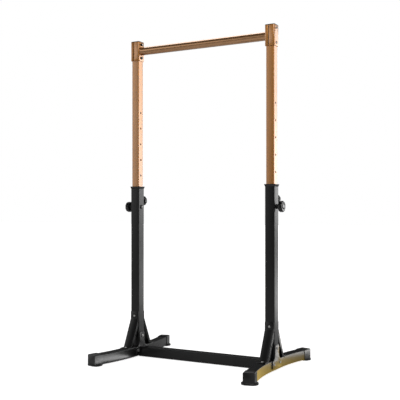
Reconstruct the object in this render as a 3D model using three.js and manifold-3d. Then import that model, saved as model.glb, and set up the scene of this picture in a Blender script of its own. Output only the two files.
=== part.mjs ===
// Free-standing pull-up stand: two feet joined by a base crossbar, two lower uprights,
// and an upper frame that slides in them and is held by a through pin and a clamp screw
// on each side. Millimetres, +X to the right, +Y to the back, +Z up, origin on the floor
// midway between the uprights. The upper frame is at its highest setting.
import * as THREE from 'three';
import { mergeVertices } from 'three/addons/utils/BufferGeometryUtils.js';
import Module from 'manifold-3d';

const wasm = await Module();
wasm.setup();

// ---------------------------------------------------------------- driving dimensions
const UPRIGHT_SPACING = 934; // between the centres of the two uprights
const BAR_HEIGHT = 1942; // centre of the pull-up bar above the floor
const COLLAR_TOP = 1080; // top of the plastic collars on the lower uprights
const LOCK_HEIGHT = 950; // lock pins
const CLAMP_HEIGHT = 990; // clamp screws
const HOLE_PITCH = 100; // between height settings
const HOLE_COUNT = 7; // height settings
const GAP = 0.3; // between pieces that rest on each other
const OVERLAP = 2; // how far welded or moulded-on solids run into each other
const CHAMFER = 1; // on turned pieces

const WALL = 2; // all steel tubes
const BAR_DIAMETER = 50;
const UPPER_TUBE = 50;
const UPPER_CORNER = 4;
const UPPER_TUBE_BOTTOM = 880;
const UPPER_TUBE_TOP = 2000;
const LOWER_TUBE = 60;
const LOWER_CORNER = 4;

const FOOT_WIDTH = 60;
const FOOT_BOTTOM = 5;
const FOOT_TOP = 65;
const FOOT_MIDDLE = 65; // half the straight middle of a foot
const FOOT_BEND_ANGLE = THREE.MathUtils.degToRad(13.6);
const FOOT_BEND_RADIUS = 1190;
const FOOT_BEND_STEPS = 6;
const FOOT_END = 72; // straight end of a foot, after the bend

const SHOE_WALL = 3;
const SHOE_LENGTH = 60; // how far a shoe reaches back over its foot
const PAD_WIDTH = 96;
const PAD_LENGTH = 66;
const PAD_THICKNESS = 12;
const PAD_CORNER = 24;
const PAD_STANDOFF = 1; // how far a pad stands out past its sleeve

const CROSSBAR_HEIGHT = 60;
const CROSSBAR_DEPTH = 60;
const CROSSBAR_BOTTOM = 3;
const DRAIN_HOLE = 26;

const PLATE = 5; // gussets and brackets
const GUSSET_HALF_WIDTH = 63;
const GUSSET_STEM = 27; // half width of the stem
const GUSSET_FLARE = 36; // radius between the stem and the wide foot of the plate
const GUSSET_BOTTOM = 17;
const GUSSET_SHOULDER = 62;
const GUSSET_TOP = 152;
const GUSSET_CORNER = 8;
const GUSSET_BOLT_HEIGHT = 131;
const FOOT_BOLT_HEIGHT = 43;
const FOOT_BOLT_OFFSET = 45;

const BRACE_WIDTH = 58;
const BRACE_PLATE = 4;
const BRACE_FLANGE = 15;
const FLANGE_START = 2; // from a brace's upper bend to the root of its flange
const FLANGE_TAPER = 40; // from the upper bend to the flange's full depth
const FLANGE_STOP = 4; // from the root of the flange to the lower bend
const FLANGE_LOWER_TAPER = 8;
const BRACE_TOP = 284;
const BRACE_BOLT_HEIGHT = 257;
const BRACE_BEND_HEIGHT = 238;
const BRACE_FOOT_START = 110; // distance from the upright's centre
const BRACE_FOOT_END = 152;
const BRACE_FOOT_BOLT = 133;
const FOOT_BOLT_LENGTH = 22; // bolts through a brace into the top of a foot

const COLLAR_SIZE = 69;
const COLLAR_LIP = 14;
const COLLAR_SLEEVE = 40; // reach into the lower upright
const COLLAR_TAPER = 0.9;
const COLLAR_CORNER = 5;

const GLIDE_FLANGE = 8;
const GLIDE_PLUG = 26;
const CAP_PLATE = 4;
const CAP_PLUG = 8;

const BRACKET_BOTTOM = 1880;
const BRACKET_HEIGHT = UPPER_TUBE_TOP - BRACKET_BOTTOM;
const BRACKET_CORNER = 6;
const BRACKET_SEAM = -8; // the line where the two shells meet, from the tube's centre
const BRACKET_SEAM_WIDTH = 4.4;
const BRACKET_BOLT_OFFSET = 42.5; // above and below the bar
const SLIP = 0.4; // between the sliding tube and what it slides in

const BOLT = 8;
const BOLT_HOLE = 9;
const BOLT_HEAD = 15;
const BOLT_HEAD_HEIGHT = 5;
const BOLT_HEAD_RIM = 1.5;
const BOLT_HEAD_CROWN = 9; // flat on top of the head
const BOLT_END = 9; // the thread that stands out for the nut

const PIN = 11;
const PIN_HOLE = 12.4;
const PIN_BOSS = 26;
const PIN_BOSS_LENGTH = 12;
const PIN_NUT = 24;
const PIN_NUT_LENGTH = 6;
const PIN_TIP = 2.5; // pin beyond its nut

const SCREW = 10;
const SCREW_HOLE = 10.8;
const CLAMP_BOSS_LENGTH = 3;
const TIP_LENGTH = 6; // nylon tip of the clamp screw
const TIP_DIAMETER = 9;

const KNOB_RADIUS = 34;
const KNOB_NECK = 16;
const KNOB_LENGTH = 33;
const KNOB_LOBES = 10;
const KNOB_LOBE_DEPTH = 0.05; // of the radius
const KNOB_STEM_DEPTH = 18; // how deep a pin or screw sits in its knob

const ROUND = 16; // sides of a round piece
const HOLE_SIDES = 12;
const CURVE_STEPS = 3; // in each arc of a pad or gusset

const half = (size) => size / 2;
const uprightX = half(UPRIGHT_SPACING);
const lowerFace = half(LOWER_TUBE);
const lowerTop = COLLAR_TOP - COLLAR_LIP - GAP;
const lowerBottom = FOOT_TOP + GAP;
const bracketOuter = UPPER_TUBE + 2 * (SLIP + PLATE);
const bracketFace = half(bracketOuter);

// ---------------------------------------------------------------- materials
const bronze = new THREE.MeshStandardMaterial({ color: 0xa9794e, roughness: 0.32, metalness: 0.8 });
const black = new THREE.MeshStandardMaterial({ color: 0x262626, roughness: 0.5, metalness: 0.3 });
const plastic = new THREE.MeshStandardMaterial({ color: 0x161616, roughness: 0.6, metalness: 0 });
const nylon = new THREE.MeshStandardMaterial({ color: 0xd8d4c8, roughness: 0.6, metalness: 0 });
const steel = new THREE.MeshStandardMaterial({ color: 0x9a9a9c, roughness: 0.35, metalness: 1 });

// ---------------------------------------------------------------- solids and booleans
function toSolid(geometry) {
  const bare = geometry.clone();
  bare.deleteAttribute('normal');
  bare.deleteAttribute('uv');
  const merged = mergeVertices(bare, 1e-4);
  return new wasm.Manifold(new wasm.Mesh({
    numProp: 3,
    vertProperties: merged.attributes.position.array,
    triVerts: new Uint32Array(merged.index.array),
  }));
}

function toGeometry(solid) {
  const { vertProperties, triVerts } = solid.getMesh();
  const geometry = new THREE.BufferGeometry();
  geometry.setAttribute('position', new THREE.BufferAttribute(vertProperties, 3));
  geometry.setIndex(new THREE.BufferAttribute(triVerts, 1));
  return geometry;
}

function unite(pieces) {
  const [first, ...others] = pieces.map(toSolid);
  return toGeometry(others.reduce((whole, piece) => whole.add(piece), first));
}

function cut(geometry, tools) {
  const start = toSolid(geometry);
  return toGeometry(tools.reduce((rest, tool) => rest.subtract(toSolid(tool)), start));
}

// ---------------------------------------------------------------- basic shapes
// Turns that lay a shape drawn in x and y, and drawn out along z, onto other planes.
const FACING_X = new THREE.Matrix4().makeBasis(
  new THREE.Vector3(0, 1, 0),
  new THREE.Vector3(0, 0, 1),
  new THREE.Vector3(1, 0, 0),
);

function extrude(shape, depth, curveSegments = 1) {
  return new THREE.ExtrudeGeometry(shape, { depth, bevelEnabled: false, curveSegments });
}

// The shape's x and y become Y and Z, centred along X.
function extrudeAcross(shape, width, curveSegments) {
  return extrude(shape, width, curveSegments).translate(0, 0, -half(width)).applyMatrix4(FACING_X);
}

function roundedRectangle(width, height, radius) {
  const x = half(width) - radius;
  const y = half(height) - radius;
  const quarter = half(Math.PI);
  const shape = new THREE.Shape();
  shape.absarc(x, -y, radius, -quarter, 0);
  shape.absarc(x, y, radius, 0, quarter);
  shape.absarc(-x, y, radius, quarter, Math.PI);
  shape.absarc(-x, -y, radius, Math.PI, Math.PI + quarter);
  shape.closePath();
  return shape;
}

function squareTube(outer, inner, outerRadius, innerRadius, length) {
  const shape = roundedRectangle(outer, outer, outerRadius);
  shape.holes.push(roundedRectangle(inner, inner, innerRadius));
  return extrude(shape, length);
}

function block(width, depth, height) {
  return new THREE.BoxGeometry(width, depth, height).translate(0, 0, half(height));
}

// A cylinder centred on the origin along x, y or z.
function rod(axis, diameter, length, sides = HOLE_SIDES) {
  const cylinder = new THREE.CylinderGeometry(half(diameter), half(diameter), length, sides);
  if (axis === 'x') cylinder.rotateZ(-half(Math.PI));
  if (axis === 'z') cylinder.rotateX(half(Math.PI));
  return cylinder;
}

// A round piece turned about its own y axis, from [radius, height] pairs.
function turned(profile, sides = ROUND) {
  const points = profile.map(([radius, height]) => new THREE.Vector2(radius, height));
  return toGeometry(toSolid(new THREE.LatheGeometry(points, sides)));
}

// A strip of plate that follows a line of points, thickened to the left of its direction.
function stripShape(points, thickness) {
  const normals = points.slice(1).map((point, i) => {
    const along = point.clone().sub(points[i]).normalize();
    return new THREE.Vector2(-along.y, along.x);
  });
  const raised = points.map((point, i) => {
    const before = normals[Math.max(i - 1, 0)];
    const after = normals[Math.min(i, normals.length - 1)];
    const mitre = before.clone().add(after).normalize();
    return point.clone().addScaledVector(mitre, thickness / mitre.dot(after));
  });
  return new THREE.Shape([...points, ...raised.reverse()]);
}

function mesh(name, geometry, material, position = [0, 0, 0], rotation = [0, 0, 0]) {
  const piece = new THREE.Mesh(geometry, material);
  piece.name = name;
  piece.position.set(...position);
  piece.rotation.set(...rotation);
  return piece;
}

// Rotations that point a turned piece's y axis along X, Y or Z.
const ALONG_X = [0, 0, -half(Math.PI)];
const ALONG_MINUS_X = [0, 0, half(Math.PI)];
const ALONG_Y = [0, 0, 0];
const ALONG_MINUS_Y = [Math.PI, 0, 0];
const ALONG_Z = [half(Math.PI), 0, 0];

// ---------------------------------------------------------------- feet
// One long edge of a foot seen from above, from its middle to its end. The foot bends
// towards +X, so the offset from its centre line shortens the bend.
function footEdge(offset, extraLength) {
  const radius = FOOT_BEND_RADIUS - offset;
  const edge = [];
  for (let step = 0; step <= FOOT_BEND_STEPS; step++) {
    const angle = FOOT_BEND_ANGLE * step / FOOT_BEND_STEPS;
    edge.push(new THREE.Vector2(
      FOOT_BEND_RADIUS - radius * Math.cos(angle),
      FOOT_MIDDLE + radius * Math.sin(angle),
    ));
  }
  const direction = new THREE.Vector2(Math.sin(FOOT_BEND_ANGLE), Math.cos(FOOT_BEND_ANGLE));
  edge.push(edge.at(-1).clone().addScaledVector(direction, FOOT_END + extraLength));
  return edge;
}

function footShape(width, extraLength) {
  const right = footEdge(half(width), extraLength);
  const left = footEdge(-half(width), extraLength);
  const toFront = (point) => new THREE.Vector2(point.x, -point.y);
  return new THREE.Shape([
    ...right.map(toFront).reverse(),
    ...right,
    ...left.slice().reverse(),
    ...left.map(toFront),
  ]);
}

function footTube() {
  const height = FOOT_TOP - FOOT_BOTTOM;
  const outside = extrude(footShape(FOOT_WIDTH, 0), height);
  const inside = extrude(footShape(FOOT_WIDTH - 2 * WALL, OVERLAP), height - 2 * WALL);
  inside.translate(0, 0, WALL);
  const tools = [inside];
  for (const side of [-1, 1]) {
    const boltHeight = FOOT_BOLT_HEIGHT - FOOT_BOTTOM;
    tools.push(rod('x', BOLT_HOLE, 2 * FOOT_WIDTH).translate(0, side * FOOT_BOLT_OFFSET, boltHeight));
    tools.push(rod('z', BOLT_HOLE, 4 * WALL).translate(0, side * BRACE_FOOT_BOLT, height));
  }
  return cut(outside, tools);
}

// A moulded shoe: a sleeve over the end of the foot, on a flanged pad. Its y axis points
// out along the foot, and the foot ends at y = 0.
function footShoe() {
  const sleeveWidth = FOOT_WIDTH + 2 * (GAP + SHOE_WALL);
  const sleeveLength = SHOE_LENGTH + GAP + SHOE_WALL;
  const middle = GAP + SHOE_WALL - half(sleeveLength);
  const sleeve = block(sleeveWidth, sleeveLength, FOOT_TOP + GAP + SHOE_WALL).translate(0, middle, 0);
  const pad = extrude(roundedRectangle(PAD_WIDTH, PAD_LENGTH, PAD_CORNER), PAD_THICKNESS, CURVE_STEPS);
  pad.translate(0, GAP + SHOE_WALL + PAD_STANDOFF - half(PAD_LENGTH), 0);
  const pocketHeight = FOOT_TOP - FOOT_BOTTOM + 2 * GAP;
  const pocket = block(FOOT_WIDTH + 2 * GAP, 2 * SHOE_LENGTH, pocketHeight);
  pocket.translate(0, GAP - SHOE_LENGTH, FOOT_BOTTOM - GAP);
  return cut(unite([sleeve, pad]), [pocket]);
}

// Where a foot ends, and which way it points there.
function footEnd(sideways) {
  const tip = footEdge(0, 0).at(-1);
  const turn = sideways > 0 ? -FOOT_BEND_ANGLE : FOOT_BEND_ANGLE - Math.PI;
  return { position: [tip.x, sideways * tip.y, 0], rotation: [0, 0, turn] };
}

// ---------------------------------------------------------------- gussets and base crossbar
function gussetShape() {
  const quarter = half(Math.PI);
  const flareTop = GUSSET_SHOULDER + GUSSET_FLARE;
  const cornerX = GUSSET_STEM - GUSSET_CORNER;
  const cornerZ = GUSSET_TOP - GUSSET_CORNER;
  const shape = new THREE.Shape();
  shape.moveTo(-GUSSET_HALF_WIDTH, GUSSET_BOTTOM);
  shape.lineTo(GUSSET_HALF_WIDTH, GUSSET_BOTTOM);
  shape.absarc(GUSSET_HALF_WIDTH, flareTop, GUSSET_FLARE, -quarter, -Math.PI, true);
  shape.absarc(cornerX, cornerZ, GUSSET_CORNER, 0, quarter);
  shape.absarc(-cornerX, cornerZ, GUSSET_CORNER, quarter, Math.PI);
  shape.absarc(-GUSSET_HALF_WIDTH, flareTop, GUSSET_FLARE, 0, -quarter, true);
  shape.closePath();
  return shape;
}

function gussetPlate() {
  const plate = extrudeAcross(gussetShape(), PLATE, CURVE_STEPS);
  const hole = (y, z) => rod('x', BOLT_HOLE, 4 * PLATE).translate(0, y, z);
  return cut(plate, [
    hole(0, GUSSET_BOLT_HEIGHT),
    hole(-FOOT_BOLT_OFFSET, FOOT_BOLT_HEIGHT),
    hole(FOOT_BOLT_OFFSET, FOOT_BOLT_HEIGHT),
  ]);
}

// The base crossbar carries a welded gusset plate at each end. A hole in each plate lets
// the powder coat drain out of the tube.
function baseCrossbar() {
  const plateX = uprightX - lowerFace - GAP - half(PLATE);
  const axisHeight = CROSSBAR_BOTTOM + half(CROSSBAR_HEIGHT);
  const section = roundedRectangle(CROSSBAR_DEPTH, CROSSBAR_HEIGHT, LOWER_CORNER);
  const tube = extrudeAcross(section, 2 * plateX);
  const bore = roundedRectangle(CROSSBAR_DEPTH - 2 * WALL, CROSSBAR_HEIGHT - 2 * WALL, LOWER_CORNER - WALL);
  const inside = extrudeAcross(bore, 2 * plateX - PLATE);
  const plates = [-plateX, plateX].map((x) => gussetPlate().translate(x, 0, 0));
  const drain = rod('x', DRAIN_HOLE, 2 * UPRIGHT_SPACING);
  const whole = unite([tube.translate(0, 0, axisHeight), ...plates]);
  return cut(whole, [inside.translate(0, 0, axisHeight), drain.translate(0, 0, axisHeight)]);
}

// ---------------------------------------------------------------- braces
// A bent strip from the upright's face to the top of the foot, with stiffening flanges
// along its sloping part. It reaches out along y.
function brace() {
  const face = lowerFace + GAP;
  const foot = FOOT_TOP + GAP;
  const bendTop = new THREE.Vector2(face, BRACE_BEND_HEIGHT);
  const bendBottom = new THREE.Vector2(BRACE_FOOT_START, foot);
  const line = [
    new THREE.Vector2(face, BRACE_TOP),
    bendTop,
    bendBottom,
    new THREE.Vector2(BRACE_FOOT_END, foot),
  ];
  const strip = extrudeAcross(stripShape(line, BRACE_PLATE), BRACE_WIDTH);
  const down = bendBottom.clone().sub(bendTop).normalize();
  const inward = new THREE.Vector2(down.y, -down.x);
  const onSlope = (from, distance, depth) => from.clone()
    .addScaledVector(down, distance)
    .addScaledVector(inward, depth);
  const flangeShape = new THREE.Shape([
    onSlope(bendTop, FLANGE_START, -half(BRACE_PLATE)),
    onSlope(bendBottom, -FLANGE_STOP, -half(BRACE_PLATE)),
    onSlope(bendBottom, -FLANGE_LOWER_TAPER, BRACE_FLANGE),
    onSlope(bendTop, FLANGE_TAPER, BRACE_FLANGE),
  ]);
  const flangeX = half(BRACE_WIDTH - BRACE_PLATE);
  const flanges = [-flangeX, flangeX].map((x) => extrudeAcross(flangeShape, BRACE_PLATE).translate(x, 0, 0));
  return cut(unite([strip, ...flanges]), [
    rod('y', BOLT_HOLE, 6 * BRACE_PLATE).translate(0, face, BRACE_BOLT_HEIGHT),
    rod('z', BOLT_HOLE, 6 * BRACE_PLATE).translate(0, BRACE_FOOT_BOLT, foot),
  ]);
}

// ---------------------------------------------------------------- uprights
function lowerUpright() {
  const inner = LOWER_TUBE - 2 * WALL;
  const tube = squareTube(LOWER_TUBE, inner, LOWER_CORNER, LOWER_CORNER - WALL, lowerTop - lowerBottom);
  tube.translate(0, 0, lowerBottom);
  return cut(tube, [
    rod('x', PIN_HOLE, 2 * LOWER_TUBE).translate(0, 0, LOCK_HEIGHT),
    rod('x', BOLT_HOLE, 2 * LOWER_TUBE).translate(0, 0, GUSSET_BOLT_HEIGHT),
    rod('y', BOLT_HOLE, 2 * LOWER_TUBE).translate(0, 0, BRACE_BOLT_HEIGHT),
    rod('y', SCREW_HOLE, LOWER_TUBE).translate(0, lowerFace, CLAMP_HEIGHT),
  ]);
}

function upperUpright() {
  const length = UPPER_TUBE_TOP - UPPER_TUBE_BOTTOM;
  const inner = UPPER_TUBE - 2 * WALL;
  const tube = squareTube(UPPER_TUBE, inner, UPPER_CORNER, UPPER_CORNER - WALL, length);
  tube.translate(0, 0, UPPER_TUBE_BOTTOM);
  const holes = [];
  for (let setting = 0; setting < HOLE_COUNT; setting++) {
    const height = LOCK_HEIGHT + setting * HOLE_PITCH;
    holes.push(rod('x', PIN_HOLE, 2 * UPPER_TUBE).translate(0, 0, height));
  }
  for (const side of [-1, 1]) {
    const height = BAR_HEIGHT + side * BRACKET_BOLT_OFFSET;
    holes.push(rod('x', BOLT_HOLE, 2 * UPPER_TUBE).translate(0, 0, height));
  }
  return cut(tube, holes);
}

// A plastic bush: a tapered lip on top of the lower upright and a sleeve inside it.
function guideCollar() {
  const lip = extrude(roundedRectangle(COLLAR_SIZE, COLLAR_SIZE, COLLAR_CORNER), COLLAR_LIP);
  const points = lip.attributes.position;
  for (let i = 0; i < points.count; i++) {
    const scale = points.getZ(i) < half(COLLAR_LIP) ? COLLAR_TAPER : 1;
    points.setXY(i, points.getX(i) * scale, points.getY(i) * scale);
  }
  const sleeveSize = LOWER_TUBE - 2 * WALL - 2 * GAP;
  const sleeveSection = roundedRectangle(sleeveSize, sleeveSize, LOWER_CORNER - WALL);
  const sleeve = extrude(sleeveSection, COLLAR_SLEEVE + OVERLAP).translate(0, 0, -COLLAR_SLEEVE);
  const opening = UPPER_TUBE + 2 * SLIP;
  const bore = extrude(roundedRectangle(opening, opening, UPPER_CORNER), 4 * COLLAR_SLEEVE);
  bore.translate(0, 0, -2 * COLLAR_SLEEVE);
  return cut(unite([lip, sleeve]), [bore]);
}

// A plastic foot in the bottom of the sliding tube that centres it in the lower upright.
function upperGlide() {
  const flangeSize = LOWER_TUBE - 2 * WALL - 2 * SLIP;
  const plugSize = UPPER_TUBE - 2 * WALL - 2 * GAP;
  const flange = extrude(roundedRectangle(flangeSize, flangeSize, LOWER_CORNER - WALL), GLIDE_FLANGE);
  const plugSection = roundedRectangle(plugSize, plugSize, UPPER_CORNER - WALL);
  const plug = extrude(plugSection, GLIDE_PLUG + OVERLAP);
  return unite([flange.translate(0, 0, -GLIDE_FLANGE - GAP), plug.translate(0, 0, -OVERLAP)]);
}

// A plastic cap over the top of the sliding tube and its brackets.
function topCap() {
  const plugSize = UPPER_TUBE - 2 * WALL - 2 * GAP;
  const plate = extrude(roundedRectangle(bracketOuter, bracketOuter, BRACKET_CORNER), CAP_PLATE);
  const plugSection = roundedRectangle(plugSize, plugSize, UPPER_CORNER - WALL);
  const plug = extrude(plugSection, CAP_PLUG + OVERLAP);
  return unite([plate.translate(0, 0, GAP), plug.translate(0, 0, -CAP_PLUG)]);
}

// ---------------------------------------------------------------- top brackets and bar
// One of the two shells that wrap the top of an upright, on its -X or +X side.
function bracketShell(side) {
  const inner = UPPER_TUBE + 2 * SLIP;
  const ring = squareTube(bracketOuter, inner, BRACKET_CORNER, UPPER_CORNER, BRACKET_HEIGHT);
  ring.translate(0, 0, BRACKET_BOTTOM - BAR_HEIGHT);
  const otherHalf = block(bracketOuter, 2 * bracketOuter, 2 * BRACKET_HEIGHT);
  const edge = BRACKET_SEAM + side * half(BRACKET_SEAM_WIDTH);
  otherHalf.translate(edge - side * half(bracketOuter), 0, -BRACKET_HEIGHT);
  const holes = [-1, 1].map((end) => rod('x', BOLT_HOLE, 2 * bracketOuter)
    .translate(0, 0, end * BRACKET_BOLT_OFFSET));
  return cut(ring, [otherHalf, ...holes]);
}

function pullUpBar() {
  const section = new THREE.Shape().absarc(0, 0, half(BAR_DIAMETER), 0, 2 * Math.PI);
  section.holes.push(new THREE.Path().absarc(0, 0, half(BAR_DIAMETER) - WALL, 0, 2 * Math.PI));
  return extrudeAcross(section, 2 * (uprightX - bracketFace - GAP), 16);
}

// ---------------------------------------------------------------- fasteners, pins and knobs
// A button-head bolt with its head standing on y = 0 and its shank below.
function bolt(length) {
  const shank = half(BOLT);
  const head = half(BOLT_HEAD);
  return turned([
    [0, -length],
    [shank, -length],
    [shank, 0],
    [head, 0],
    [head, BOLT_HEAD_RIM],
    [half(BOLT_HEAD_CROWN), BOLT_HEAD_HEIGHT],
    [0, BOLT_HEAD_HEIGHT],
  ], HOLE_SIDES);
}

// A round nut or boss with a bore, from y = 0 upwards.
function ring(diameter, bore, length) {
  return turned([
    [half(bore), 0],
    [half(diameter), 0],
    [half(diameter), length - CHAMFER],
    [half(diameter) - CHAMFER, length],
    [half(bore), length],
    [half(bore), 0],
  ]);
}

// A straight shaft with chamfered ends, from y = 0 upwards.
function shaft(diameter, length) {
  return turned([
    [0, 0],
    [half(diameter) - CHAMFER, 0],
    [half(diameter), CHAMFER],
    [half(diameter), length - CHAMFER],
    [half(diameter) - CHAMFER, length],
    [0, length],
  ]);
}

// A lobed hand knob on a narrow neck, with a blind bore for its shaft.
function knob(stemDiameter) {
  const stem = half(stemDiameter) + GAP;
  const profile = [
    [0, KNOB_STEM_DEPTH + GAP],
    [stem, KNOB_STEM_DEPTH + GAP],
    [stem, 0],
    [KNOB_NECK, 0],
    [KNOB_NECK, 0.1 * KNOB_LENGTH],
    [0.94 * KNOB_RADIUS, 0.26 * KNOB_LENGTH],
    [KNOB_RADIUS, 0.36 * KNOB_LENGTH],
    [KNOB_RADIUS, 0.84 * KNOB_LENGTH],
    [0.86 * KNOB_RADIUS, KNOB_LENGTH],
    [0, KNOB_LENGTH],
  ];
  const points = profile.map(([radius, height]) => new THREE.Vector2(radius, height));
  const body = new THREE.LatheGeometry(points, 4 * KNOB_LOBES);
  const position = body.attributes.position;
  for (let i = 0; i < position.count; i++) {
    const x = position.getX(i);
    const z = position.getZ(i);
    const outwards = THREE.MathUtils.smoothstep(Math.hypot(x, z), KNOB_NECK, KNOB_RADIUS);
    const valley = half(1 - Math.cos(KNOB_LOBES * Math.atan2(z, x)));
    const scale = 1 - KNOB_LOBE_DEPTH * valley * outwards;
    position.setXYZ(i, x * scale, position.getY(i), z * scale);
  }
  return toGeometry(toSolid(body));
}

// ---------------------------------------------------------------- one side of the stand
// Pieces that are the same seen from the front or the back. They are drawn for the right
// side, and a half turn about Z makes the left side of them.
function turnedSide(side) {
  const isRight = side === 'right';
  const ends = isRight ? { front: -1, back: 1 } : { front: 1, back: -1 };
  const group = new THREE.Group();
  group.position.x = isRight ? uprightX : -uprightX;
  group.rotation.z = isRight ? 0 : Math.PI;

  group.add(mesh(`${side}_foot_tube`, footTube(), black, [0, 0, FOOT_BOTTOM]));
  group.add(mesh(`${side}_guide_collar`, guideCollar(), plastic, [0, 0, lowerTop + GAP]));
  group.add(mesh(`${side}_upper_upright`, upperUpright(), bronze));
  group.add(mesh(`${side}_upper_glide`, upperGlide(), plastic, [0, 0, UPPER_TUBE_BOTTOM]));
  group.add(mesh(`${side}_top_cap`, topCap(), plastic, [0, 0, UPPER_TUBE_TOP]));

  const gussetX = lowerFace + GAP + half(PLATE);
  group.add(mesh(`${side}_outer_gusset`, gussetPlate(), black, [gussetX, 0, 0]));
  for (const [end, way] of Object.entries(ends)) {
    const tip = footEnd(way);
    const turn = way > 0 ? 0 : Math.PI;
    group.add(mesh(`${side}_${end}_shoe`, footShoe(), plastic, tip.position, tip.rotation));
    group.add(mesh(`${side}_${end}_brace`, brace(), black, [0, 0, 0], [0, 0, turn]));
    const footBoltTop = FOOT_TOP + 2 * GAP + BRACE_PLATE;
    const footBolt = [0, way * BRACE_FOOT_BOLT, footBoltTop];
    group.add(mesh(`${side}_${end}_brace_foot_bolt`, bolt(FOOT_BOLT_LENGTH), steel, footBolt, ALONG_Z));
    const gussetBolt = [gussetX + half(PLATE) + GAP, way * FOOT_BOLT_OFFSET, FOOT_BOLT_HEIGHT];
    const footSpan = FOOT_WIDTH + 2 * (PLATE + 2 * GAP) + BOLT_END;
    group.add(mesh(`${side}_${end}_gusset_bolt`, bolt(footSpan), steel, gussetBolt, ALONG_X));
  }

  const plateSpan = LOWER_TUBE + 2 * (PLATE + 2 * GAP) + BOLT_END;
  const stemBolt = [gussetX + half(PLATE) + GAP, 0, GUSSET_BOLT_HEIGHT];
  group.add(mesh(`${side}_upright_bolt`, bolt(plateSpan), steel, stemBolt, ALONG_X));

  for (const [name, end] of [['lower', -1], ['upper', 1]]) {
    const place = [bracketFace + GAP, 0, BAR_HEIGHT + end * BRACKET_BOLT_OFFSET];
    const length = bracketOuter + 2 * GAP + BOLT_END;
    group.add(mesh(`${side}_bracket_bolt_${name}`, bolt(length), steel, place, ALONG_X));
  }
  group.add(lockParts(side));
  return group;
}

// The lock pin goes through both tubes. Its knob is outside and its nut inside.
function lockParts(side) {
  const group = new THREE.Group();
  group.position.z = LOCK_HEIGHT;
  const bossX = lowerFace + GAP;
  const knobX = bossX + PIN_BOSS_LENGTH + 2 * GAP;
  const pinStart = -(lowerFace + GAP + PIN_NUT_LENGTH + PIN_TIP);
  const pinLength = knobX + KNOB_STEM_DEPTH - pinStart;
  const boss = ring(PIN_BOSS, PIN_HOLE, PIN_BOSS_LENGTH);
  const nut = ring(PIN_NUT, PIN_HOLE, PIN_NUT_LENGTH);
  group.add(mesh(`${side}_pin_boss`, boss, black, [bossX, 0, 0], ALONG_X));
  group.add(mesh(`${side}_pin_nut`, nut, black, [-bossX, 0, 0], ALONG_MINUS_X));
  group.add(mesh(`${side}_lock_pin`, shaft(PIN, pinLength), steel, [pinStart, 0, 0], ALONG_X));
  group.add(mesh(`${side}_lock_knob`, knob(PIN), plastic, [knobX, 0, 0], ALONG_X));
  return group;
}

// ---------------------------------------------------------------- pieces alike on both sides
// The clamp screw comes through the back of the lower upright and presses its nylon tip
// on the sliding tube.
function clampParts(side) {
  const group = new THREE.Group();
  group.position.z = CLAMP_HEIGHT;
  const tipY = half(UPPER_TUBE) + GAP;
  const screwY = tipY + TIP_LENGTH + GAP;
  const bossY = lowerFace + GAP;
  const knobY = bossY + CLAMP_BOSS_LENGTH + 2 * GAP;
  const screwLength = knobY + KNOB_STEM_DEPTH - screwY;
  const boss = ring(PIN_BOSS, SCREW_HOLE, CLAMP_BOSS_LENGTH);
  group.add(mesh(`${side}_clamp_boss`, boss, black, [0, bossY, 0], ALONG_Y));
  group.add(mesh(`${side}_clamp_tip`, shaft(TIP_DIAMETER, TIP_LENGTH), nylon, [0, tipY, 0], ALONG_Y));
  group.add(mesh(`${side}_clamp_screw`, shaft(SCREW, screwLength), steel, [0, screwY, 0], ALONG_Y));
  group.add(mesh(`${side}_clamp_knob`, knob(SCREW), plastic, [0, knobY, 0], ALONG_Y));
  return group;
}

function straightSide(side) {
  const group = new THREE.Group();
  group.position.x = side === 'right' ? uprightX : -uprightX;
  const names = side === 'right' ? { inner: -1, outer: 1 } : { inner: 1, outer: -1 };
  for (const [name, way] of Object.entries(names)) {
    group.add(mesh(`${side}_${name}_bracket`, bracketShell(way), bronze, [0, 0, BAR_HEIGHT]));
  }
  group.add(mesh(`${side}_lower_upright`, lowerUpright(), black));
  const seat = lowerFace + BRACE_PLATE + 2 * GAP;
  const braceBolt = bolt(2 * seat + BOLT_END);
  group.add(mesh(`${side}_brace_bolt`, braceBolt, steel, [0, -seat, BRACE_BOLT_HEIGHT], ALONG_MINUS_Y));
  group.add(clampParts(side));
  return group;
}

// ---------------------------------------------------------------- assembly
const group = new THREE.Group();
for (const side of ['left', 'right']) {
  group.add(turnedSide(side));
  group.add(straightSide(side));
}
group.add(mesh('base_crossbar', baseCrossbar(), black));
group.add(mesh('pull_up_bar', pullUpBar(), bronze, [0, 0, BAR_HEIGHT]));

export default group;
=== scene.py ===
"""Looks of a free-standing pull-up stand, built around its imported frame. Metres, +Z up."""
import math

import bmesh
import bpy
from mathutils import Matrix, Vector


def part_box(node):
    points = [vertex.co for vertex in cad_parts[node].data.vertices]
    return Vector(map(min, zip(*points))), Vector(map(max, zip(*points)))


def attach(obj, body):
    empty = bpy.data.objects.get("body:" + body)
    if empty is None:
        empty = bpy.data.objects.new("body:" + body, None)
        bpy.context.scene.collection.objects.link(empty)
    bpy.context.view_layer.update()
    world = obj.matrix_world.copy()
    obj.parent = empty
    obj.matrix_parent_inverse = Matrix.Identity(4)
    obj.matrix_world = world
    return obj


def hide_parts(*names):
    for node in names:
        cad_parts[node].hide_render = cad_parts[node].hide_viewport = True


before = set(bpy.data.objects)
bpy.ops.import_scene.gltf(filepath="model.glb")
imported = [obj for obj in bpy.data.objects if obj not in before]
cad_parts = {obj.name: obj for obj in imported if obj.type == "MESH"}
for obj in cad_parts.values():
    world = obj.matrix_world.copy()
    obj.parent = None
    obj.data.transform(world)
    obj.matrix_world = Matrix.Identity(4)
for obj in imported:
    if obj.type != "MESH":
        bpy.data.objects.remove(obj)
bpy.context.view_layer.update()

MM = 0.001
SIDES = {"left": -1, "right": 1}
X, Y, Z = Vector((1, 0, 0)), Vector((0, 1, 0)), Vector((0, 0, 1))

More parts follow.
